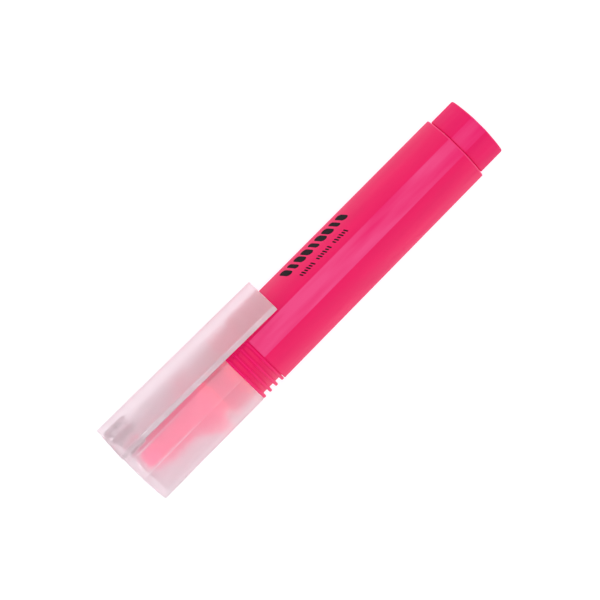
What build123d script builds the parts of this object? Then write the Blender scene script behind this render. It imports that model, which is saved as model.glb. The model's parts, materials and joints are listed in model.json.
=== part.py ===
from build123d import *
import math
import os

# A twist-up gel highlighter with its cap on, lying along X on one of its three bowed faces.
# Sizes are millimetres. AT_ values are stations: distances along the pen's axis from the cap's
# closed end. Every piece is modelled about that axis, then all are set down on z = 0 together.

LENGTH = 124.0

# The pen's section: three bowed faces joined by three narrow flats, one of them on top
REACH = 10.2  # half of the width across the two lower flats
FLAT = 2.85  # half width of a narrow flat
FACE_RADIUS = 24.0
CREASE = 0.4  # rounding between a flat and a bowed face
FLATS_FACE = (90, 210, 330)  # directions, in degrees from +Y towards +Z

# Cap, moulded in one piece with its clip
AT_MOUTH = 36.0
CAP_WALL = 1.2
CAP_END_WALL = 2.0
CAP_END_ROUND = 0.5
BEAD = 0.08  # height of the snap bead inside the cap
AT_BEAD = 26.2
BEAD_WIDTH = 0.9

CLIP_LENGTH = 54.5
CLIP_WIDTH = 17.7
CLIP_THICK = 1.75
CLIP_ROUND = 0.3
CLIP_TURN = -60  # degrees about X that carry a clip built on top to its own face
CLIP_OUT_AT_ROOT = 11.8  # axis to the clip's outer face
CLIP_OUT_AT_TIP = 10.65
RIB_COUNT = 3
RIB_PITCH = 5.6
RIB_THICK = 1.1
AT_RIBS = (0.4, 7.4)
WEB_THICK = 1.4
RIB_FOOT = 7.6  # axis to a rib's foot, inside the cap's wall

# Nose cone
AT_NOSE = 8.0
AT_SHOULDER = 17.6
AT_FLANGE = (24.9, 25.7)
AT_SPIGOT_END = 36.0
NOSE_RADIUS = 4.3
SHOULDER_RADIUS = 4.7
NOSE_BORE = 3.65
NOSE_ROUND = 0.25
CONE_BORE = 4.4
AT_BORE_STEP = (17.0, 19.0)
FLANGE_INSET = 1.3
SPIGOT_RADIUS = 5.2

# Grip collar
AT_NECK = (28.0, 34.2)
NECK_INSET = 2.5
NECK_ROUND = 0.5
RECESS_INSET = 3.0  # between the neck and the first fin
FIN_COUNT = 4
FIN_PITCH = 2.15
FIN_WIDTH = 0.9
FIN_ROUND = 0.4
FIN_DEPTH = 1.1
PLUG_LENGTH = 9.0
COLLAR_BORE = 4.5
SOCKET_PAST_SPIGOT = 0.2

# Barrel
AT_BARREL = 43.5
AT_BARREL_END = 116.0
REAR_REACH = 9.9
REAR_FLAT = 2.65
BARREL_WALL = 1.5  # at the rear end
BARREL_END_ROUND = 0.35

# Knob
KNOB_REACH = 9.0
KNOB_FLAT = 2.4
KNOB_GAP = 0.2
KNOB_WALL = 1.4
KNOB_END_WALL = 1.6
KNOB_END_ROUND = 0.6
HUB_RADIUS = 4.8

# Lead screw: an oval bar twisted into a left-hand two-start thread
LEAD = 6.0  # travel for one turn of the knob
SCREW_MAJOR = 2.3
SCREW_MINOR = 1.5
AT_SCREW = 58.6
AT_THRUST = (107.0, 108.4)
THRUST_RADIUS = 4.5
JOURNAL_RADIUS = 3.25
DRIVE_SIDE = 4.2
DRIVE_LENGTH = 5.2
AT_RING = 112.0
RING_SECTION = 0.53
GROOVE_RADIUS = 2.2
GROOVE_WIDTH = 1.4

# Rear bushing
AT_BUSHING = 108.5
BUSHING_BORE = 3.3

# Follower, stick holder and stick
AT_TIP = 3.0
AT_STICK_END = 43.5
STICK_RADIUS = 3.5
TIP_ROUND = 2.4
HOLDER_DISC = 1.5
PEG_LENGTH = 6.0
PEG_RADIUS = 1.3
BARB_RADIUS = 1.7
BARB_COUNT = 3
JOINT_RADIUS = 2.2
AT_STEM = 48.5
STEM_BORE = 2.6
STEM_FRONT_WALL = 1.5
AT_NUT = 90.0
NUT_LENGTH = 8.0
NUT_RADIUS = 4.4
GUIDE_LENGTH = 4.0
GUIDE_GAP = 0.15
THREAD_GAP = 0.12

FIT_GAP = 0.03  # between pieces that are pressed together


def outline(reach=REACH, flat=FLAT, inset=0.0):
    """The pen's section, or the same section drawn inwards, as a flat face about the origin."""
    tilt = math.radians(30)
    to_flat = (reach - flat * math.sin(tilt)) / math.cos(tilt)
    corners = []
    for direction in FLATS_FACE:
        out = Vector(1, 0).rotate(Axis.Z, direction)
        along = Vector(0, 1).rotate(Axis.Z, direction)
        corners += [out * to_flat - along * flat, out * to_flat + along * flat]
    edges = []
    for i in range(0, len(corners), 2):
        start, end = corners[i + 1], corners[(i + 2) % len(corners)]
        edges += [Line(corners[i], start), RadiusArc(start, end, -FACE_RADIUS)]
    face = fillet(make_face(edges).vertices(), CREASE)
    return offset(face, -inset) if inset else face


def prism(start, end, face):
    """A face drawn about the origin, set across the axis at one station and run to another."""
    return extrude(Plane.YZ.offset(start) * face, end - start)


def rod(start, end, radius):
    return prism(start, end, Circle(radius))


def turned(*points):
    """A solid of revolution about the pen's axis, from (station, radius) points."""
    return revolve(make_face(Polyline(*points, close=True)), Axis.X)


def ends(solid, *stations):
    """The edges of a solid that lie wholly in the planes at the given stations."""
    found = []
    for at in stations:
        found += solid.edges().filter_by_position(Axis.X, at - 1e-3, at + 1e-3)
    return found


def barrel_bore(inset=0.0):
    return outline(REAR_REACH, REAR_FLAT, BARREL_WALL + inset)


def clip():
    """The clip's plate and the ribs and web at its root, built on top of the cap."""
    inner_at_root = CLIP_OUT_AT_ROOT - CLIP_THICK
    inner_at_tip = CLIP_OUT_AT_TIP - CLIP_THICK
    side = Polyline(
        (0, inner_at_root),
        (0, CLIP_OUT_AT_ROOT),
        (CLIP_LENGTH, CLIP_OUT_AT_TIP),
        (CLIP_LENGTH, inner_at_tip),
        close=True,
    )
    plate = extrude(Plane.XZ * make_face(side), CLIP_WIDTH / 2, both=True)
    plate = fillet(plate.edges(), CLIP_ROUND)
    height = inner_at_root + CLIP_THICK / 2 - RIB_FOOT
    middle = RIB_FOOT + height / 2
    start, end = AT_RIBS
    span = RIB_PITCH * (RIB_COUNT - 1)
    for i in range(RIB_COUNT):
        across = i * RIB_PITCH - span / 2
        rib = Box(end - start, RIB_THICK, height)
        plate += Pos((start + end) / 2, across, middle) * rib
    web = Box(WEB_THICK, span + RIB_THICK, height)
    plate += Pos(start + WEB_THICK / 2, 0, middle) * web
    return Rot(CLIP_TURN, 0, 0) * plate


def cap():
    shell = prism(0, AT_MOUTH, outline())
    shell = fillet(ends(shell, 0), CAP_END_ROUND)
    shell -= prism(CAP_END_WALL, AT_MOUTH, outline(inset=CAP_WALL))
    bead_end = AT_BEAD + BEAD_WIDTH
    bead = prism(AT_BEAD, bead_end, outline(inset=CAP_WALL / 2))
    bead -= prism(AT_BEAD, bead_end, outline(inset=CAP_WALL + BEAD))
    return shell + bead + clip()


def nose_cone():
    cone_end, flange_end = AT_FLANGE
    step_start, step_end = AT_BORE_STEP
    outside = turned(
        (AT_NOSE, 0),
        (AT_NOSE, NOSE_RADIUS),
        (AT_SHOULDER, SHOULDER_RADIUS),
        (cone_end, REACH),
        (flange_end, REACH),
        (flange_end, SPIGOT_RADIUS),
        (AT_SPIGOT_END, SPIGOT_RADIUS),
        (AT_SPIGOT_END, 0),
    )
    bore = turned(
        (AT_NOSE, 0),
        (AT_NOSE, NOSE_BORE),
        (step_start, NOSE_BORE),
        (step_end, CONE_BORE),
        (AT_SPIGOT_END, CONE_BORE),
        (AT_SPIGOT_END, 0),
    )
    nose = outside & prism(AT_NOSE, AT_SPIGOT_END, outline(inset=FLANGE_INSET))
    nose -= bore
    return fillet(ends(nose, AT_NOSE), NOSE_ROUND)


def grip_collar():
    socket_end = AT_SPIGOT_END + SOCKET_PAST_SPIGOT
    plug_end = AT_BARREL + PLUG_LENGTH
    neck_start, neck_end = AT_NECK
    neck = prism(neck_start, neck_end, outline(inset=NECK_INSET))
    collar = fillet(ends(neck, neck_start, neck_end), NECK_ROUND)
    collar += prism(neck_end - NECK_ROUND, AT_MOUTH, outline(inset=RECESS_INSET))
    collar += prism(AT_MOUTH, AT_BARREL, outline(inset=FIN_DEPTH))
    for i in range(FIN_COUNT):
        start = AT_MOUTH + i * FIN_PITCH
        end = start + FIN_WIDTH
        fin = prism(start, end, outline())
        collar += fillet(ends(fin, start, end), FIN_ROUND)
    collar += prism(AT_BARREL, plug_end, barrel_bore(FIT_GAP))
    collar -= rod(neck_start, socket_end, SPIGOT_RADIUS + FIT_GAP)
    return collar - rod(socket_end, plug_end, COLLAR_BORE)


def barrel():
    front = Plane.YZ.offset(AT_BARREL) * outline()
    rear = Plane.YZ.offset(AT_BARREL_END) * outline(REAR_REACH, REAR_FLAT)
    tube = loft([front, rear], ruled=True)
    tube = fillet(ends(tube, AT_BARREL_END), BARREL_END_ROUND)
    return tube - prism(AT_BARREL, AT_BARREL_END, barrel_bore())


def rear_bushing():
    plug = prism(AT_BUSHING, AT_BARREL_END, barrel_bore(FIT_GAP))
    return plug - rod(AT_BUSHING, AT_BARREL_END, BUSHING_BORE)


def knob():
    start = AT_BARREL_END + KNOB_GAP
    floor = LENGTH - KNOB_END_WALL
    body = prism(start, LENGTH, outline(KNOB_REACH, KNOB_FLAT))
    body = fillet(ends(body, LENGTH), KNOB_END_ROUND)
    body -= prism(start, floor, outline(KNOB_REACH, KNOB_FLAT, KNOB_WALL))
    body += rod(start, floor, HUB_RADIUS)
    hole = Rectangle(DRIVE_SIDE + FIT_GAP, DRIVE_SIDE + FIT_GAP)
    return body - prism(start, start + DRIVE_LENGTH + FIT_GAP, hole)


def twisted_bar(start, end, gap=0.0):
    """An oval bar twisted left-handed, one turn in each LEAD, in step with the station."""
    turn = -360 * start / LEAD
    oval = Rot(0, 0, turn) * Ellipse(SCREW_MAJOR + gap, SCREW_MINOR + gap)
    section = (Plane.YZ.offset(start) * oval).face()
    angle = -360 * (end - start) / LEAD
    axis = Vector(end - start, 0, 0)
    return Part() + Solid.extrude_linear_with_rotation(section, (start, 0, 0), axis, angle)


def lead_screw():
    thrust_start, thrust_end = AT_THRUST
    journal_end = AT_BARREL_END + KNOB_GAP
    half_groove = GROOVE_WIDTH / 2
    screw = twisted_bar(AT_SCREW, thrust_start)
    screw += rod(thrust_start, thrust_end, THRUST_RADIUS)
    screw += rod(thrust_end, journal_end, JOURNAL_RADIUS)
    groove = rod(AT_RING - half_groove, AT_RING + half_groove, THRUST_RADIUS)
    groove -= rod(AT_RING - half_groove, AT_RING + half_groove, GROOVE_RADIUS)
    screw -= groove
    drive = Rectangle(DRIVE_SIDE, DRIVE_SIDE)
    return screw + prism(journal_end, journal_end + DRIVE_LENGTH, drive)


def friction_ring():
    middle = GROOVE_RADIUS + (BUSHING_BORE - GROOVE_RADIUS) / 2
    return Pos(AT_RING, 0, 0) * Rot(0, 90, 0) * Torus(middle, RING_SECTION)


def stick_holder():
    """A barbed peg moulded into the stick, with a disc and a socket for the follower."""
    disc_end = AT_STICK_END + HOLDER_DISC
    barb_pitch = PEG_LENGTH / BARB_COUNT
    peg_start = AT_STICK_END - PEG_LENGTH
    holder = rod(AT_STICK_END, AT_STEM, STICK_RADIUS)
    holder += rod(peg_start, AT_STICK_END, PEG_RADIUS)
    for i in range(BARB_COUNT):
        front = peg_start + i * barb_pitch
        back = front + barb_pitch / 2
        holder += turned((front, 0), (front, PEG_RADIUS), (back, BARB_RADIUS), (back, 0))
    return holder - rod(disc_end, AT_STEM, JOINT_RADIUS + FIT_GAP)


def follower():
    """The pusher tube: a plug at the front, a nut at the rear, and a guide in the barrel's bore."""
    nut_end = AT_NUT + NUT_LENGTH
    tube = rod(AT_STICK_END + HOLDER_DISC, AT_STEM, JOINT_RADIUS)
    tube += rod(AT_STEM, AT_NUT, STICK_RADIUS)
    tube += rod(AT_NUT, nut_end, NUT_RADIUS)
    tube += prism(AT_NUT, AT_NUT + GUIDE_LENGTH, barrel_bore(GUIDE_GAP))
    tube -= rod(AT_STEM + STEM_FRONT_WALL, AT_NUT, STEM_BORE)
    return tube - twisted_bar(AT_NUT - LEAD / 4, nut_end + LEAD / 4, THREAD_GAP)


def gel_stick():
    stick = rod(AT_TIP, AT_STICK_END, STICK_RADIUS)
    stick = fillet(ends(stick, AT_TIP), TIP_ROUND)
    return stick - stick_holder()


PIECES = {
    "cap": cap,
    "nose_cone": nose_cone,
    "grip_collar": grip_collar,
    "barrel": barrel,
    "rear_bushing": rear_bushing,
    "knob": knob,
    "lead_screw": lead_screw,
    "friction_ring": friction_ring,
    "follower": follower,
    "stick_holder": stick_holder,
    "gel_stick": gel_stick,
}


def set_down(pieces):
    """The move that lays the pen on z = 0 with the middle of its footprint at the origin."""
    box = pieces["cap"].bounding_box()  # with its clip it is the widest piece, and as low as any
    return Pos(-LENGTH / 2, -(box.min.Y + box.max.Y) / 2, -box.min.Z)


def main():
    os.makedirs("parts", exist_ok=True)
    pieces = {name: make() for name, make in PIECES.items()}
    place = set_down(pieces)
    for name, piece in pieces.items():
        export_step(place * piece, f"parts/{name}.step")


main()
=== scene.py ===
"""A capped twist-up gel highlighter lying on a pale table, seen from straight above."""
import json
import math

import bmesh
import bpy
from mathutils import Matrix, Vector


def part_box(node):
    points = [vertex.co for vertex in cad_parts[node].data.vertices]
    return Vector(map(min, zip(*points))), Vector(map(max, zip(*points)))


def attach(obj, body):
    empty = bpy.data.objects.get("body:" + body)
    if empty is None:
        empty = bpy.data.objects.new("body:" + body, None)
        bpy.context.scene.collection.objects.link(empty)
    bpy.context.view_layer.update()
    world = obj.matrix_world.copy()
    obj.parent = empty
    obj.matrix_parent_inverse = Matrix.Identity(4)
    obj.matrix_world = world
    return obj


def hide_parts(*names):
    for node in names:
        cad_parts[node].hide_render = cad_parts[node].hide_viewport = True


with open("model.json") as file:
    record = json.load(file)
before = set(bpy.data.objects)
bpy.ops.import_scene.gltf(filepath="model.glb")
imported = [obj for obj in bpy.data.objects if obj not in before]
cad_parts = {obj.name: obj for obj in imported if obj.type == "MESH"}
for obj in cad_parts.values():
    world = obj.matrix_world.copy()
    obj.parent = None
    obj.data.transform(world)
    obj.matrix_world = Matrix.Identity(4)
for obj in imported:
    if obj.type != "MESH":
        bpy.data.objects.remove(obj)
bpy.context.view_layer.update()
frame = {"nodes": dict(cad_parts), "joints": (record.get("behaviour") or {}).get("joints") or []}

# Sizes are millimetres. A station is a distance along the pen's axis from the cap's closed end.
MM = 0.001
KNOB_JOINT = next(joint for joint in frame["joints"] if joint["name"] == "knob_turn")
AXIS_Y, AXIS_Z = KNOB_JOINT["pos_m"][1:]
CLOSED_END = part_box("cap")[0][0]

# The pen's section: three narrow flats joined by three bowed faces
REACH, FLAT = 10.2, 2.85  # half of the width across two lower flats, and of a flat's own width
REAR_REACH, REAR_FLAT = 9.9, 2.65
KNOB_REACH, KNOB_FLAT = 9.0, 2.4
FACE_RADIUS = 24.0
CREASE = 0.4
SHARPEST_CREASE = 0.12
MOUTH = 36.0  # where the cap ends
HOLD, SHORT_HOLD = 0.5, 0.3  # plain lengths beside rounded edges, which keep their shading crisp
HUB_RINGS = (0.8, 0.55, 0.3)  # inner rings of a filled end, as shares of its outline
FLAT_STEPS, CREASE_STEPS, FACE_STEPS = 9, 5, 14  # for half of a flat, a crease and half of a face


def span(node):
    """The stations between which a CAD node lies."""
    return [(corner[0] - CLOSED_END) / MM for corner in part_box(node)]


def place(at, point):
    """A point in the frame from a station and a (y, z) point about the axis."""
    return Vector((CLOSED_END + at * MM, AXIS_Y + point.x * MM, AXIS_Z + point.y * MM))


def turn(degrees, length=1.0):
    angle = math.radians(degrees)
    return Vector((math.cos(angle), math.sin(angle))) * length


def face_centre(reach, flat):
    """How far beyond the axis a bowed face's centre lies."""
    to_flat = (reach - flat / 2) / math.cos(math.radians(30))
    chord = to_flat / 2 + flat * math.cos(math.radians(30))
    half = to_flat * math.cos(math.radians(30)) - flat / 2
    return math.sqrt(FACE_RADIUS**2 - half**2) - chord


def section(reach=REACH, flat=FLAT, inset=0.0):
    """Points round the pen's section, or the same section drawn inwards."""
    to_flat = (reach - flat / 2) / math.cos(math.radians(30)) - inset
    centre = turn(60, -face_centre(reach, flat))
    crease = max(CREASE - inset, SHARPEST_CREASE)
    radius = FACE_RADIUS - inset
    depth = to_flat - crease
    side = centre.y + math.sqrt((radius - crease) ** 2 - (depth - centre.x) ** 2)
    middle = Vector((depth, side))
    leaving = middle - centre
    bend = math.degrees(math.atan2(leaving.y, leaving.x))
    half = [Vector((to_flat, side * i / FLAT_STEPS)) for i in range(FLAT_STEPS + 1)]
    half += [middle + turn(bend * (i + 1) / CREASE_STEPS, crease) for i in range(CREASE_STEPS)]
    sweep = 60 - bend
    half += [centre + turn(bend + sweep * (i + 1) / FACE_STEPS, radius) for i in range(FACE_STEPS)]
    third = [Vector((p.x, -p.y)) for p in reversed(half[1:-1])] + half
    points = []
    for direction in (90, 210, 330):
        spin = Matrix.Rotation(math.radians(direction), 2)
        points += [spin @ p for p in third]
    return points


def tapered(at, inset=0.0):
    """The barrel's section at a station."""
    start, end = span("barrel")
    share = (at - start) / (end - start)
    reach = REACH + (REAR_REACH - REACH) * share
    return section(reach, FLAT + (REAR_FLAT - FLAT) * share, inset)


ROUND = [p.normalized() for p in section()]


def circle(radius):
    """A circle whose points lie in the same directions as the section's."""
    return [p * radius for p in ROUND]


def square(half, corner=8.0):
    """A square with softened corners."""
    points = []
    for p in ROUND:
        points.append(p * half / (abs(p.x) ** corner + abs(p.y) ** corner) ** (1 / corner))
    return points


def trimmed(radius, limit, blend=0.3):
    """A circle kept inside another outline, with the edge between the two softened."""
    points = []
    for direction, edge in zip(ROUND, limit):
        reach = edge.length
        near = max(blend - abs(radius - reach), 0) / blend
        points.append(direction * (min(radius, reach) - near**2 * blend / 4))
    return points


def edge(at, outward, radius, ring, steps=5):
    """Rings round the edge of an end at a station, from the end's face to the side.
    outward is the way the end faces, and ring gives the outline at an inset."""
    rings = []
    for i in range(steps + 1):
        angle = math.radians(90 * i / steps)
        inset = radius * (1 - math.sin(angle))
        rings.append((at - outward * radius * (1 - math.cos(angle)), ring(inset)))
    return rings


def run(start, end, ring, step=2.0):
    """Rings along a plain stretch. ring gives the outline at a station."""
    count = max(round(abs(end - start) / step), 1)
    stations = [start + (end - start) * i / count for i in range(count + 1)]
    return [(at, ring(at)) for at in stations]


def mesh_object(name, bm):
    bmesh.ops.recalc_face_normals(bm, faces=bm.faces)
    mesh = bpy.data.meshes.new(name)
    bm.to_mesh(mesh)
    bm.free()
    obj = bpy.data.objects.new(name, mesh)
    bpy.context.scene.collection.objects.link(obj)
    return obj


def loft(name, rings, ends_meet=False, locate=place):
    """A closed mesh through rings of (station, points). The first and last rings are filled, or
    joined to each other if ends_meet is True."""
    bm = bmesh.new()
    rows = [[bm.verts.new(locate(at, p)) for p in points] for at, points in rings]
    pairs = list(zip(rows, rows[1:]))
    if ends_meet:
        pairs.append((rows[-1], rows[0]))
    else:
        for at, points in (rings[0], rings[-1]):
            last = rows[0] if points is rings[0][1] else rows[-1]
            middle = sum(points, Vector((0, 0))) / len(points)
            for share in HUB_RINGS:
                inner = [bm.verts.new(locate(at, middle.lerp(p, share))) for p in points]
                pairs.append((last, inner))
                last = inner
            hub = bm.verts.new(locate(at, middle))
            for a, b in zip(last, last[1:] + last[:1]):
                bm.faces.new((a, b, hub))
    for a, b in pairs:
        for i in range(len(a)):
            bm.faces.new((a[i - 1], a[i], b[i], b[i - 1]))
    return mesh_object(name, bm)


def smooth(obj, sharp=35):
    """Smooth shading that keeps wide faces flat, and edges over sharp degrees crisp."""
    mesh = obj.data
    mesh.polygons.foreach_set("use_smooth", [True] * len(mesh.polygons))
    mesh.set_sharp_from_angle(angle=math.radians(sharp))
    weighted = obj.modifiers.new("weighted normals", "WEIGHTED_NORMAL")
    weighted.keep_sharp = True
    weighted.weight = 80
    return obj


def applied(obj):
    """Makes an object's modifiers part of its mesh."""
    evaluated = obj.evaluated_get(bpy.context.evaluated_depsgraph_get())
    mesh = bpy.data.meshes.new_from_object(evaluated)
    obj.modifiers.clear()
    obj.data = mesh
    return obj


def unite(base, others):
    """Joins solids into one without inner walls."""
    for other in others:
        union = base.modifiers.new("union", "BOOLEAN")
        union.operation = "UNION"
        union.solver = "EXACT"
        union.object = other
        applied(base)
        bpy.data.objects.remove(other)
    return base


def hand_in(obj, body, slot, material, *replaced):
    """Gives a piece its body and its material, and hides the CAD nodes it stands for. slot is not
    used.
    """
    obj.data.materials.clear()
    obj.data.materials.append(material)
    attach(obj, body)
    if replaced:
        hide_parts(*replaced)
    return obj


# ---------------------------------------------------------------- materials


class Nodes:
    """A material with one Principled shader, and short ways to add nodes to it."""

    def __init__(self, name):
        self.material = bpy.data.materials.new(name)
        self.material.use_nodes = True
        self.tree = self.material.node_tree
        self.shader = next(n for n in self.tree.nodes if n.type == "BSDF_PRINCIPLED")
        coordinates = self.tree.nodes.new("ShaderNodeTexCoord")
        self.where = coordinates.outputs["Object"]

    def link(self, output, node, socket):
        self.tree.links.new(output, node.inputs[socket])

    def stretched(self, scale):
        mapping = self.tree.nodes.new("ShaderNodeMapping")
        mapping.inputs["Scale"].default_value = scale
        self.link(self.where, mapping, "Vector")
        return mapping.outputs["Vector"]

    def noise(self, scale, detail=3.0, stretch=(1, 1, 1), roughness=0.5):
        node = self.tree.nodes.new("ShaderNodeTexNoise")
        node.inputs["Scale"].default_value = scale
        node.inputs["Detail"].default_value = detail
        node.inputs["Roughness"].default_value = roughness
        self.link(self.stretched(stretch), node, "Vector")
        return node.outputs["Fac"]

    def ranged(self, value, low, high, start=0.3, end=0.7):
        node = self.tree.nodes.new("ShaderNodeMapRange")
        node.inputs["From Min"].default_value = start
        node.inputs["From Max"].default_value = end
        node.inputs["To Min"].default_value = low
        node.inputs["To Max"].default_value = high
        self.link(value, node, "Value")
        return node.outputs["Result"]

    def colours(self, value, *stops):
        """A colour for each (place, colour) along a value."""
        node = self.tree.nodes.new("ShaderNodeValToRGB")
        ramp = node.color_ramp
        while len(ramp.elements) < len(stops):
            ramp.elements.new(0.5)
        for element, (at, colour) in zip(ramp.elements, stops):
            element.position = at
            element.color = (*colour, 1.0)
        self.link(value, node, "Fac")
        return node.outputs["Color"]

    def added(self, a, b, share):
        """One height on top of a share of another."""
        node = self.tree.nodes.new("ShaderNodeMath")
        node.operation = "MULTIPLY_ADD"
        node.inputs[1].default_value = share
        self.link(b, node, 0)
        self.link(a, node, 2)
        return node.outputs["Value"]

    def worked(self, operation, a, b=0.0):
        """A sum on values, each a socket or a number."""
        node = self.tree.nodes.new("ShaderNodeMath")
        node.operation = operation
        for socket, value in enumerate((a, b)):
            if isinstance(value, float):
                node.inputs[socket].default_value = value
            else:
                self.link(value, node, socket)
        return node.outputs["Value"]

    def blended(self, share, under, over):
        """One colour over another where share is 1."""
        node = self.tree.nodes.new("ShaderNodeMix")
        node.data_type = "RGBA"
        self.link(share, node, "Factor")
        self.tree.links.new(under, next(s for s in node.inputs if s.identifier == "A_Color"))
        self.tree.links.new(over, next(s for s in node.inputs if s.identifier == "B_Color"))
        return next(s for s in node.outputs if s.identifier == "Result_Color")

    def parted(self):
        """The place on the object as separate X, Y and Z."""
        parts = self.tree.nodes.new("ShaderNodeSeparateXYZ")
        self.link(self.where, parts, "Vector")
        return parts

    def beyond(self, station, fade):
        """0 before a station and 1 beyond it."""
        start = CLOSED_END + station * MM
        return self.ranged(self.parted().outputs["X"], 0, 1, start, start + fade * MM)

    def on_flats(self):
        """1 on the three narrow flats and 0 on the bowed faces."""
        parts = self.parted()
        up = self.worked("SUBTRACT", parts.outputs["Z"], float(AXIS_Z))
        side = self.worked("SUBTRACT", parts.outputs["Y"], float(AXIS_Y))
        turns = self.worked("MULTIPLY", self.worked("ARCTAN2", side, up), 3.0)
        facing = self.ranged(self.worked("COSINE", turns), 0, 1, *FLAT_EDGE)
        across = self.worked("MULTIPLY", side, side)
        squares = self.worked("ADD", across, self.worked("MULTIPLY", up, up))
        outside = self.ranged(self.worked("SQRT", squares), 0, 1, *FLAT_FROM)
        return self.worked("MULTIPLY", facing, outside)

    def relief(self, height, depth, strength=1.0):
        bump = self.tree.nodes.new("ShaderNodeBump")
        bump.inputs["Distance"].default_value = depth
        bump.inputs["Strength"].default_value = strength
        self.link(height, bump, "Height")
        self.link(bump.outputs["Normal"], self.shader, "Normal")

    def set(self, **values):
        for name, value in values.items():
            self.shader.inputs[name.replace("_", " ")].default_value = value


def shaded(colour, factor):
    return tuple(min(channel * factor, 1.0) for channel in colour)


# Patterns in moulded plastic: noise scale, detail, and how far it is drawn out along the pen
CLOUDS = (160, 4, (0.35, 1, 1))
WISPS = (190, 3, (0.14, 1, 1))
STREAKS = (420, 3, (0.12, 1, 1))
WAVES = (260, 2, (0.3, 1, 1))
CLOUD_STOPS, WISP_STOPS = (0.3, 0.7), (0.35, 0.62)  # where their colours turn
WAVE_SHARE = 1.5  # height of the waves for each height of grain
GRAIN_DETAIL, GRAIN_ROUGHNESS = 5, 0.6
MOULDED_IOR = 1.49

FLAT_EDGE = (0.66, 0.70)  # cosine of three times the angle from a flat's middle, across its edge
FLAT_FROM = (0.0079, 0.0082)  # metres from the axis where the flats start, beyond the end faces
# Millimetres: the width of the painted highlight at the barrel's rear rim, and its fade
RIM_BAND, RIM_FADE = 0.4, 0.1
# Millimetres over which the painted light on the neck fades
NECK_FADE = 0.2


def moulded(name, colour, roughness, grain, depth, mottle=0.05, over=None, **values):
    """Moulded plastic: faint clouding of the colour, flow streaks, and a fine satin grain.
    grain is the grain's noise scale and depth its height in metres. over paints other colours
    on top of the clouding."""
    made = Nodes(name)
    cloud = made.noise(*CLOUDS)
    shades = (shaded(colour, 1 - mottle), shaded(colour, 1 + mottle))
    tint = made.colours(cloud, *zip(CLOUD_STOPS, shades))
    if over:
        tint = over(made, cloud, tint)
    made.link(tint, made.shader, "Base Color")
    made.link(made.ranged(made.noise(*STREAKS), *roughness), made.shader, "Roughness")
    fine = made.noise(grain, GRAIN_DETAIL, roughness=GRAIN_ROUGHNESS)
    made.relief(made.added(fine, made.noise(*WAVES), WAVE_SHARE), depth)
    made.set(**{"IOR": MOULDED_IOR, **values})
    return made.material


def painted_sheen_on_flats(made, cloud, tint):
    """Painted sheen: the narrow flats are painted a lighter, wispy pink, standing in for the soft
    overhead light they reflect.
    """
    wisps = made.colours(made.noise(*WISPS), *zip(WISP_STOPS, FLAT_SHEEN_PINKS))
    return made.blended(made.on_flats(), tint, wisps)


def painted_sheen_on_flats_and_rim(made, cloud, tint):
    """Painted highlight: the rear end of the barrel's wall is painted a lighter pink as well, on
    top of the painted sheen on the flats.
    """
    tint = painted_sheen_on_flats(made, cloud, tint)
    at_rim = made.beyond(span("barrel")[1] - RIM_BAND, RIM_FADE)
    return made.blended(at_rim, tint, made.colours(cloud, (0, RIM_HIGHLIGHT_PINK), (1, RIM_HIGHLIGHT_PINK)))


def painted_light_on_neck(made, cloud, tint):
    """Painted light: the neck under the cap is painted a lighter pink than the fins, as if lit
    through the frosted cap.
    """
    neck = made.colours(cloud, (0, LIT_NECK_PINK), (1, LIT_NECK_PINK))
    return made.blended(made.beyond(MOUTH, NECK_FADE), neck, tint)


# Lighter pinks of the painted sheen on the flats
FLAT_SHEEN_PINKS = ((0.66, 0.006, 0.11), (0.7, 0.06, 0.2))
# Pink of the painted highlight on the barrel's rear rim
RIM_HIGHLIGHT_PINK = (0.74, 0.035, 0.15)
# Pink of the painted light on the neck under the cap
LIT_NECK_PINK = (0.92, 0.006, 0.2)

# Painted glow: the pink plastic gives off a steady pink light. It partly stands in for the
# plastic's fluorescence, and is partly painted light that lifts the shade in grooves and gaps
PAINTED_PINK_GLOW = {
    "Specular_IOR_Level": 0.17,
    "Emission_Color": (1.0, 0.01, 0.2, 1.0),
    "Emission_Strength": 0.17,
}
# The grip's painted glow is stronger, lifting the shade between its fins
GRIP_GLOW = {**PAINTED_PINK_GLOW, "Emission_Strength": 0.28}
# The nose and gel stick glow strongest, painted light that brightens them inside the cap
GEL_GLOW = {"Emission_Color": (1.0, 0.02, 0.23, 1.0), "Emission_Strength": 0.55}
FINE, MIDDLING, COARSE = 0.000003, 0.000004, 0.00001  # grain heights, metres
BARREL_ROUGH, KNOB_ROUGH, GRIP_ROUGH = (0.42, 0.52), (0.56, 0.66), (0.34, 0.44)

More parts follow.
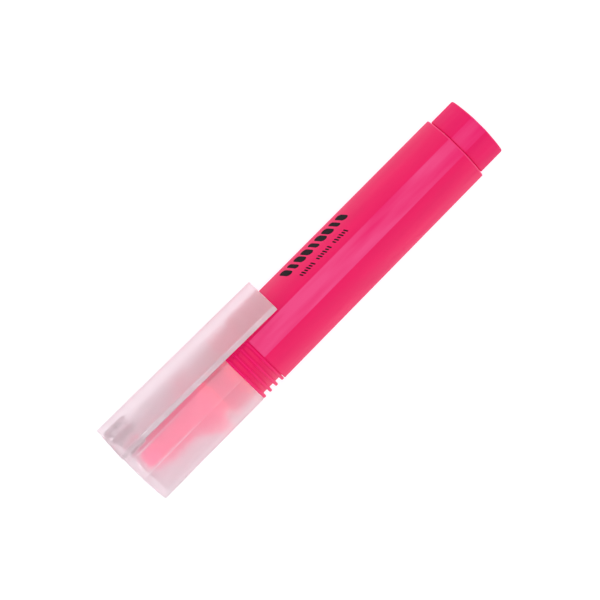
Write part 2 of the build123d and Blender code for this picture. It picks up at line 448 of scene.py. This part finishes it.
MATERIALS = {
    "barrel": moulded(
        "barrel pink", (0.66, 0.001, 0.08), BARREL_ROUGH, 5200, MIDDLING,
        over=painted_sheen_on_flats_and_rim, **PAINTED_PINK_GLOW,
    ),
    "knob": moulded(
        "knob pink", (0.64, 0.001, 0.085), KNOB_ROUGH, 6000, FINE, over=painted_sheen_on_flats, **PAINTED_PINK_GLOW
    ),
    "grip": moulded(
        "grip pink", (0.55, 0.001, 0.07), GRIP_ROUGH, 5200, MIDDLING, over=painted_light_on_neck, **GRIP_GLOW
    ),
    "nose": moulded("nose pink", (0.8, 0.01, 0.14), GRIP_ROUGH, 4200, MIDDLING, **GEL_GLOW),
    "gel": moulded("gel stick", (0.9, 0.06, 0.24), (0.35, 0.6), 1500, COARSE, 0.1, **GEL_GLOW),
    "acetal": moulded("white acetal", (0.80, 0.80, 0.77), (0.32, 0.45), 3800, MIDDLING, 0.02),
    "rubber": moulded("black rubber", (0.02, 0.02, 0.021), (0.6, 0.8), 3000, COARSE, 0.2),
    "ink": moulded(
        "black ink", (0.008, 0.005, 0.007), (0.6, 0.8), 9000, FINE, 0.3, Specular_IOR_Level=0.1
    ),
    "frosted": moulded(
        "frosted cap",
        (0.94, 0.845, 0.88),
        (0.37, 0.45),
        3600,
        FINE,
        0.004,
        IOR=1.26,
        Transmission_Weight=0.81,
        Coat_Weight=0.3,
        Coat_Roughness=0.3,
        Coat_IOR=1.49,
    ),
}


# ---------------------------------------------------------------- cap

CAP_WALL = 1.2
CAP_END_WALL = 2.0
CAP_END_ROUND = 0.5
LIP_ROUND = 0.25
INNER_ROUND = 0.4
AT_BEAD, BEAD_WIDTH, BEAD = 26.2, 0.9, 0.08
BEAD_SHAPE = ((0.8, 0.8), (0.65, 1), (0.35, 1), (0.2, 0.8))  # shares of its width and height

CLIP_LENGTH, CLIP_WIDTH, CLIP_THICK = 54.5, 17.7, 1.75
CLIP_ROUND = 0.3
CLIP_HOLD = 0.4
CLIP_OUT = (11.8, 10.65)  # axis to the outer face, at the root and at the tip
CLIP_DIRECTION = -60  # degrees from the top flat to the middle of the clip's face
RIB_PITCH, RIB_THICK, RIB_FILLET = 5.6, 1.1, 0.25
AT_RIBS = (0.4, 7.4)
WEB_THICK, WEB_WIDER = 1.4, 0.1  # the web across the ribs' ends, a little wider than the ribs
RIB_CORNER = 0.25
ROUND_STEPS = 5
SUNK = 0.5  # how far ribs reach into the walls they join


def cap_shell():
    def inner(t):
        return section(inset=CAP_WALL - t)

    def corner(t):
        return section(inset=CAP_WALL + t)

    side = section()
    wall = section(inset=CAP_WALL)
    rings = edge(0, -1, CAP_END_ROUND, lambda t: section(inset=t))
    rings += run(CAP_END_ROUND + HOLD, MOUTH - LIP_ROUND - HOLD, lambda at: side)
    rings += reversed(edge(MOUTH, 1, LIP_ROUND, lambda t: section(inset=t)))
    rings += edge(MOUTH, 1, LIP_ROUND, inner)
    rings += run(MOUTH - 1, AT_BEAD + BEAD_WIDTH, lambda at: wall)
    for share, height in BEAD_SHAPE:
        rings.append((AT_BEAD + BEAD_WIDTH * share, section(inset=CAP_WALL + BEAD * height)))
    rings += run(AT_BEAD, CAP_END_WALL + INNER_ROUND + HOLD, lambda at: wall)
    rings += reversed(edge(CAP_END_WALL, -1, INNER_ROUND, corner))
    return loft("cap_shell", rings)


def clip_face(at):
    """Axis to the clip's outer face at a station."""
    root, tip = CLIP_OUT
    return root + (tip - root) * at / CLIP_LENGTH


def on_clip(at, point):
    """A place in the frame from a station and (across, out) about the clip's own direction."""
    return place(at, Matrix.Rotation(math.radians(CLIP_DIRECTION), 2) @ point)


def rounded_box(half_width, half_height, radius, steps=5, across=12):
    """Points round a rectangle with round corners."""
    points = []
    inner = Vector((half_width - radius, half_height - radius))
    for quarter, (sx, sy) in enumerate(((1, 1), (-1, 1), (-1, -1), (1, -1))):
        middle = Vector((inner.x * sx, inner.y * sy))
        arc = [middle + turn(90 * (quarter + i / steps), radius) for i in range(steps + 1)]
        points += arc
        if quarter % 2 == 0:
            far = middle - Vector((2 * inner.x * sx, 0)) + Vector((0, radius * sy))
            points += [arc[-1].lerp(far, i / across) for i in range(1, across)]
    return points


def clip_plate():
    def ring(at, inset=0.0):
        points = rounded_box(
            CLIP_WIDTH / 2 - inset, CLIP_THICK / 2 - inset, max(CLIP_ROUND - inset, 0.05)
        )
        lift = Vector((0, clip_face(at) - CLIP_THICK / 2))
        return [p + lift for p in points]

    rings = edge(0, -1, CLIP_ROUND, lambda t: ring(0, t))
    rings += run(CLIP_ROUND + CLIP_HOLD, CLIP_LENGTH - CLIP_ROUND - CLIP_HOLD, ring)
    rings += reversed(edge(CLIP_LENGTH, 1, CLIP_ROUND, lambda t: ring(CLIP_LENGTH, t)))
    return loft("clip_plate", rings, locate=on_clip)


def rib(name, start, end, across, width):
    """A rib between the shell and the clip, with a fillet at its foot and at its top."""
    beyond = face_centre(REACH, FLAT)
    levels = []
    for i in range(ROUND_STEPS + 1):
        angle = math.radians(90 * i / ROUND_STEPS)
        levels.append((RIB_FILLET * (1 - math.cos(angle)), RIB_FILLET * (1 - math.sin(angle))))
    foot = [(-SUNK, RIB_FILLET)] + levels
    rows = [(False, rise, spread) for rise, spread in foot]
    rows += [(True, -rise, spread) for rise, spread in reversed(foot)]
    bm = bmesh.new()
    verts = []
    for at_top, rise, spread in rows:
        outline = rounded_box((end - start) / 2 + spread, width / 2 + spread, RIB_CORNER + spread)
        row = []
        for p in outline:
            at, y = (start + end) / 2 + p.x, across + p.y
            foot_height = math.sqrt(FACE_RADIUS**2 - y**2) - beyond
            height = (clip_face(at) - CLIP_THICK if at_top else foot_height) + rise
            row.append(bm.verts.new(on_clip(at, Vector((y, height)))))
        verts.append(row)
    for a, b in zip(verts, verts[1:]):
        for i in range(len(a)):
            bm.faces.new((a[i - 1], a[i], b[i], b[i - 1]))
    bm.faces.new(verts[0])
    bm.faces.new(verts[-1])
    return mesh_object(name, bm)


def cap():
    start, end = AT_RIBS
    inside_web = start + WEB_THICK / 2
    ribs = [rib(f"rib_{i}", inside_web, end, (i - 1) * RIB_PITCH, RIB_THICK) for i in range(3)]
    web = rib("web", start, start + WEB_THICK, 0, 2 * RIB_PITCH + RIB_THICK + WEB_WIDER)
    whole = unite(cap_shell(), [clip_plate(), web, *ribs])
    whole.name = "frosted_cap_with_clip"
    return smooth(whole)


hand_in(cap(), "cap", "frosted_cap", MATERIALS["frosted"], "cap")


# ---------------------------------------------------------------- nose cone

NOSE_RADIUS, SHOULDER_RADIUS, SPIGOT_RADIUS = 4.3, 4.7, 5.2
NOSE_BORE, CONE_BORE = 3.65, 4.4
AT_SHOULDER, AT_CONE_END, AT_FLANGE_END = 17.6, 24.9, 25.7
AT_BORE_STEP = (17.0, 19.0)
FLANGE_INSET = 1.3
NOSE_ROUND = 0.25


def nose_cone():
    tip, spigot_end = span("nose_cone")
    limit = section(inset=FLANGE_INSET)

    def cone(at):
        share = (at - AT_SHOULDER) / (AT_CONE_END - AT_SHOULDER)
        return trimmed(SHOULDER_RADIUS + (REACH - SHOULDER_RADIUS) * share, limit)

    def tube(at):
        share = (at - tip) / (AT_SHOULDER - tip)
        return circle(NOSE_RADIUS + (SHOULDER_RADIUS - NOSE_RADIUS) * share)

    def flange(t):
        return trimmed(REACH, [p * (1 - t / p.length) for p in limit])

    rings = edge(tip, -1, NOSE_ROUND, lambda t: circle(NOSE_RADIUS - t))
    rings += run(tip + NOSE_ROUND + SHORT_HOLD, AT_SHOULDER - SHORT_HOLD, tube, 1.0)
    rings += run(AT_SHOULDER + 0.2, AT_CONE_END - 0.2, cone, 0.25)
    rings += [(AT_CONE_END, flange(0))]
    rings += reversed(edge(AT_FLANGE_END, 1, 0.2, flange))
    rings += [(AT_FLANGE_END, circle(SPIGOT_RADIUS + 0.3))]
    rings += reversed(edge(AT_FLANGE_END, -1, 0.3, lambda t: circle(SPIGOT_RADIUS + t))[1:])
    rings += reversed(edge(spigot_end, 1, 0.3, lambda t: circle(SPIGOT_RADIUS - t)))
    rings += edge(spigot_end, 1, 0.15, lambda t: circle(CONE_BORE + t))
    step_start, step_end = AT_BORE_STEP
    rings += run(spigot_end - 1, step_end, lambda at: circle(CONE_BORE))
    rings += run(step_start, tip + NOSE_ROUND + SHORT_HOLD, lambda at: circle(NOSE_BORE))
    rings += reversed(edge(tip, -1, 0.15, lambda t: circle(NOSE_BORE + t)))
    return smooth(loft("nose_cone_tube_and_flange", rings, ends_meet=True))


hand_in(nose_cone(), "barrel", "pink_body", MATERIALS["nose"], "nose_cone")


# ---------------------------------------------------------------- grip collar

AT_NECK_END, NECK_INSET, NECK_ROUND, RECESS_INSET = 34.2, 2.5, 0.5, 3.0
FIN_COUNT, FIN_PITCH, FIN_WIDTH, FIN_ROUND, FIN_DEPTH = 4, 2.15, 0.9, 0.4, 1.1
FIN_FOOT = 0.12
LAST_GAP_DEPTH = 0.45
FIT_GAP = 0.03
BARREL_WALL = 1.5
COLLAR_BORE = 4.5
SOCKET_PAST_SPIGOT = 0.2


def fin(start):
    """Rings over one fin, from the foot of one side to the foot of the other."""
    end = start + FIN_WIDTH

    def tip(t):
        return section(inset=t)

    def foot(t):
        return section(inset=FIN_DEPTH - t)

    rings = edge(start, 1, FIN_FOOT, foot, 3)[::-1]
    rings += edge(start, -1, FIN_ROUND, tip)
    rings += reversed(edge(end, 1, FIN_ROUND, tip))
    rings += edge(end, -1, FIN_FOOT, foot, 3)
    return rings


def grip_collar():
    neck_start, plug_end = span("grip_collar")
    barrel_start = span("barrel")[0]
    socket_end = span("nose_cone")[1] + SOCKET_PAST_SPIGOT
    bore = circle(SPIGOT_RADIUS + FIT_GAP)
    plug = section(REAR_REACH, REAR_FLAT, BARREL_WALL + FIT_GAP)

    def neck(t):
        return section(inset=NECK_INSET + t)

    rings = edge(neck_start, -1, NECK_ROUND, neck)
    rings += run(neck_start + 1, AT_NECK_END - 1, lambda at: neck(0))
    rings += reversed(edge(AT_NECK_END, 1, NECK_ROUND, neck))
    recess = section(inset=RECESS_INSET)
    rings += [(AT_NECK_END + 0.2, recess), (MOUTH, recess)]
    rings += [(MOUTH, section(inset=FIN_DEPTH + 0.3))]
    for i in range(FIN_COUNT):
        rings += fin(MOUTH + i * FIN_PITCH)
    rings += [(rings[-1][0] + 0.02, section(inset=LAST_GAP_DEPTH))]
    rings += [(barrel_start, section(inset=LAST_GAP_DEPTH)), (barrel_start, plug)]
    rings += run(barrel_start + HOLD, plug_end - HOLD, lambda at: plug)
    rings += reversed(edge(plug_end, 1, 0.3, lambda t: [p * (1 - t / p.length) for p in plug]))
    rings += run(plug_end, socket_end, lambda at: circle(COLLAR_BORE))
    rings += run(socket_end, neck_start + SHORT_HOLD, lambda at: bore)
    rings += [(neck_start, circle(SPIGOT_RADIUS + FIT_GAP + 0.15))]
    return smooth(loft("finned_grip_collar", rings, ends_meet=True))


hand_in(grip_collar(), "barrel", "pink_body", MATERIALS["grip"], "grip_collar")


# ---------------------------------------------------------------- barrel

BARREL_FRONT_ROUND, BARREL_END_ROUND = 0.15, 0.35
AT_GATE, GATE_RADIUS, GATE_DEPTH = 48.0, 1.0, 0.05
GATE_REACH, GATE_STEP = 1.25, 0.125  # the stretch with finer rings round the mark
RIM_ROUND = 0.15


def gate_mark(at, points):
    """The shallow round witness of the mould's gate, in the top flat."""
    marked = []
    for p in points:
        near = 1 - ((at - AT_GATE) ** 2 + p.x**2) / GATE_RADIUS**2
        dip = GATE_DEPTH * min(max(near, 0) * 3, 1) if p.y > 0.9 * REACH and near > 0 else 0
        marked.append(p - Vector((0, dip)))
    return marked


def barrel():
    start, end = span("barrel")
    bore = section(REAR_REACH, REAR_FLAT, BARREL_WALL)

    def rim(t):
        return section(REAR_REACH, REAR_FLAT, BARREL_WALL - t)

    gate_start, gate_end = AT_GATE - GATE_REACH, AT_GATE + GATE_REACH
    rings = edge(start, -1, BARREL_FRONT_ROUND, lambda t: tapered(start, t), 3)
    rings += run(start + 0.6, gate_start, tapered)
    rings += run(gate_start, gate_end, lambda at: gate_mark(at, tapered(at)), GATE_STEP)[1:]
    rings += run(gate_end, end - BARREL_END_ROUND - HOLD, tapered)[1:]
    rings += reversed(edge(end, 1, BARREL_END_ROUND, lambda t: tapered(end, t)))
    rings += edge(end, 1, RIM_ROUND, rim, 3)
    rings += run(end - 1, start + 1, lambda at: bore)
    rings += reversed(edge(start, -1, RIM_ROUND, rim, 3))
    return smooth(loft("three_sided_barrel", rings, ends_meet=True))


hand_in(barrel(), "barrel", "pink_body", MATERIALS["barrel"], "barrel")


# ---------------------------------------------------------------- imprint

INK_PROUND, INK_SUNK = 0.02, 0.01
FACE_DIRECTION = -60
SLANT = -0.35
# Rows are across from the middle of the face, away from the top flat
BAR_ROW, AT_BARS, BAR_PITCH, BAR_COUNT, BAR_HALF_HEIGHT = 2.0, 62.6, 2.5, 9, 2.3
WIDE_BAR, THIN_BAR = 1.0, 0.68  # half widths
TICK_ROW, AT_TICKS, TICK_PITCH, TICK_COUNT, TICK_HALF_WIDTH = -3.95, 65.0, 0.82, 6, 0.22
TICK_GROUPS, GROUP_PITCH = 3, 5.9
TALL_TICK, SHORT_TICK = 0.85, 0.65  # half heights


def on_face(at, across, rise):
    """A place on the barrel's upper clip-side face, raised by rise."""
    start, end = span("barrel")
    share = (at - start) / (end - start)
    reach = REACH + (REAR_REACH - REACH) * share
    beyond = face_centre(reach, FLAT + (REAR_FLAT - FLAT) * share)
    lean = math.asin(across / FACE_RADIUS)
    out = (FACE_RADIUS + rise) * math.cos(lean) - beyond
    point = Vector(((FACE_RADIUS + rise) * math.sin(lean), out))
    return place(at, Matrix.Rotation(math.radians(FACE_DIRECTION), 2) @ point)


def printed(name, marks, rows=14):
    """Slanted marks with round ends, as thin ink. Each mark is (station, across, half width,
    half height, slant)."""
    bm = bmesh.new()
    sides = ((-1, INK_PROUND), (1, INK_PROUND), (1, -INK_SUNK), (-1, -INK_SUNK))
    for at, across, half_width, half_height, slant in marks:
        loops = []
        for i in range(rows + 1):
            level = -math.cos(math.pi * i / rows) * half_height
            past = max(abs(level) - (half_height - half_width), 0) / half_width
            width = half_width * math.sqrt(max(1 - past**2, 0.02))
            middle = at + slant * level
            loops.append([
                bm.verts.new(on_face(middle + side * width, across + level, rise))
                for side, rise in sides
            ])
        for a, b in zip(loops, loops[1:]):
            for i in range(4):
                bm.faces.new((a[i - 1], a[i], b[i], b[i - 1]))
        bm.faces.new(loops[0])
        bm.faces.new(loops[-1])
    return smooth(mesh_object(name, bm), 60)


bars = []
for i in range(BAR_COUNT):
    half_width = THIN_BAR if i % 3 == 1 else WIDE_BAR
    bars.append((AT_BARS + BAR_PITCH * i, BAR_ROW, half_width, BAR_HALF_HEIGHT, SLANT))
ticks = []
for group in range(TICK_GROUPS):
    for i in range(TICK_COUNT):
        at = AT_TICKS + group * GROUP_PITCH + i * TICK_PITCH
        half_height = TALL_TICK if i % 2 else SHORT_TICK
        ticks.append((at, TICK_ROW, TICK_HALF_WIDTH, half_height, SLANT))
hand_in(printed("imprint_bars", bars), "barrel", "black_print", MATERIALS["ink"])
hand_in(printed("imprint_ticks", ticks), "barrel", "black_print", MATERIALS["ink"])


# ---------------------------------------------------------------- knob

KNOB_WALL, KNOB_END_WALL, KNOB_END_ROUND = 1.4, 1.6, 0.6
HUB_RADIUS, DRIVE_SIDE, DRIVE_LENGTH = 4.8, 4.2, 5.2
DRIVE_SHARPNESS, DRIVE_FLARE = 24, 1.04  # the square hole's corners and its widened mouth


def knob():
    def outline(inset=0.0):
        return section(KNOB_REACH, KNOB_FLAT, inset)

    start, end = span("knob")
    floor = end - KNOB_END_WALL
    hole_end = start + DRIVE_LENGTH + FIT_GAP
    side = outline()
    hole = square((DRIVE_SIDE + FIT_GAP) / 2, DRIVE_SHARPNESS)
    inside = outline(KNOB_WALL)
    rings = [(hole_end, hole), (start + 0.2, hole), (start, [p * DRIVE_FLARE for p in hole])]
    rings += edge(start, -1, 0.2, lambda t: circle(HUB_RADIUS - t), 3)
    rings += run(start + 1, floor - SHORT_HOLD, lambda at: circle(HUB_RADIUS))
    rings += [(floor, circle(HUB_RADIUS + 0.3)), (floor, outline(KNOB_WALL + 0.3))]
    rings += run(floor - SHORT_HOLD, start + 0.6, lambda at: inside)
    rings += reversed(edge(start, -1, RIM_ROUND, lambda t: outline(KNOB_WALL - t), 3))
    rings += edge(start, -1, 0.25, outline, 4)
    rings += run(start + 0.8, end - KNOB_END_ROUND - HOLD, lambda at: side)
    rings += reversed(edge(end, 1, KNOB_END_ROUND, outline, 8))
    return smooth(loft("turning_end_knob", rings))


hand_in(knob(), "knob", "pink_knob", MATERIALS["knob"], "knob")


# ---------------------------------------------------------------- gel stick

STICK_RADIUS, TIP_ROUND = 3.5, 2.4
PEG_LENGTH, PEG_RADIUS, BARB_RADIUS, BARB_COUNT = 6.0, 1.3, 1.7, 3


def gel_stick():
    tip, end = span("gel_stick")
    rings = edge(tip, -1, TIP_ROUND, lambda t: circle(STICK_RADIUS - t), 10)
    rings += run(tip + TIP_ROUND + HOLD, end - HOLD, lambda at: circle(STICK_RADIUS))
    rings += [(end, circle(STICK_RADIUS)), (end, circle(PEG_RADIUS))]
    pitch = PEG_LENGTH / BARB_COUNT
    for i in range(BARB_COUNT):
        back = end - i * pitch
        rings += [(back - pitch / 2, circle(PEG_RADIUS)), (back - pitch / 2, circle(BARB_RADIUS))]
        rings += [(back - pitch, circle(PEG_RADIUS))]
    return smooth(loft("gel_stick_round_tip", rings), 50)


hand_in(gel_stick(), "carrier", "gel", MATERIALS["gel"], "gel_stick")


# ---------------------------------------------------------------- mechanism kept from the CAD

for node, material in (
    ("lead_screw", "acetal"),
    ("follower", "acetal"),
    ("stick_holder", "acetal"),
    ("rear_bushing", "acetal"),
    ("friction_ring", "rubber"),
):
    for material_slot in frame["nodes"][node].material_slots:
        material_slot.material = MATERIALS[material]


# ---------------------------------------------------------------- table, light and camera

# Metres from here on
FLOOR_HALF, FLOOR_DROP, FLOOR_CELLS = 3.0, 0.00002, 24
# The table's own light hides the pink that the pen casts on it
FLOOR_GLOW = {"Emission_Color": (1.0, 0.95, 1.0, 1.0), "Emission_Strength": 0.78}
SOFTBOX_AT, SOFTBOX_SIZE, SOFTBOX_POWER = (0, 0, 1.8), 1.3, 5.8
ROOM_LIGHT = 0.85
SENSOR_WIDTH, LENS = 36.0, 297.6  # millimetres
CAMERA_STATION, CAMERA_HEIGHT = 45.7, 1.266  # a station, and metres above the pen's axis
TARGET_STATION, TARGET_SIDE = 60.3, 1.0  # a station, and millimetres to the side of the axis
PICTURE_TURN = 45.4


def table():
    bm = bmesh.new()
    bmesh.ops.create_grid(bm, x_segments=FLOOR_CELLS, y_segments=FLOOR_CELLS, size=FLOOR_HALF)
    floor = mesh_object("table", bm)
    floor.location.z = -FLOOR_DROP
    pale = moulded(
        "pale table", (0.4, 0.4, 0.4), (0.7, 0.85), 900, COARSE, 0.004, **FLOOR_GLOW
    )
    floor.data.materials.append(pale)


def light(name, where, size, power):
    lamp = bpy.data.lights.new(name, "AREA")
    lamp.shape = "DISK"
    lamp.size = size
    lamp.energy = power
    obj = bpy.data.objects.new(name, lamp)
    obj.location = where
    obj.rotation_euler = (Vector((0, 0, 0)) - Vector(where)).to_track_quat("-Z", "Y").to_euler()
    bpy.context.scene.collection.objects.link(obj)


def surroundings(strength):
    world = bpy.data.worlds.new("studio")
    bpy.context.scene.world = world
    world.use_nodes = True
    back = next(n for n in world.node_tree.nodes if n.type == "BACKGROUND")
    back.inputs["Color"].default_value = (1.0, 1.0, 1.0, 1.0)
    back.inputs["Strength"].default_value = strength


def camera():
    """Straight above, with the pen lying across the picture from corner to corner."""
    data = bpy.data.cameras.new("camera")
    data.sensor_width = SENSOR_WIDTH
    data.lens = LENS
    obj = bpy.data.objects.new("camera", data)
    where = Vector((CLOSED_END + CAMERA_STATION * MM, AXIS_Y, AXIS_Z + CAMERA_HEIGHT))
    target = Vector((CLOSED_END + TARGET_STATION * MM, AXIS_Y + TARGET_SIDE * MM, AXIS_Z))
    back = (where - target).normalized()
    along = turn(-PICTURE_TURN)
    right = Vector((along.x, along.y, 0))
    right = (right - back * right.dot(back)).normalized()
    up = back.cross(right)
    turned = Matrix((right, up, back)).transposed().to_4x4()
    obj.matrix_world = Matrix.Translation(where) @ turned
    bpy.context.scene.collection.objects.link(obj)
    bpy.context.scene.camera = obj


table()
light("overhead softbox", SOFTBOX_AT, SOFTBOX_SIZE, SOFTBOX_POWER)
surroundings(ROOM_LIGHT)
camera()
bpy.context.scene.view_settings.view_transform = "Standard"

# Frosted walls pass light on many times before it leaves them
CYCLES = bpy.context.scene.cycles
CYCLES.max_bounces = CYCLES.transmission_bounces = 40
CYCLES.diffuse_bounces = CYCLES.glossy_bounces = 20
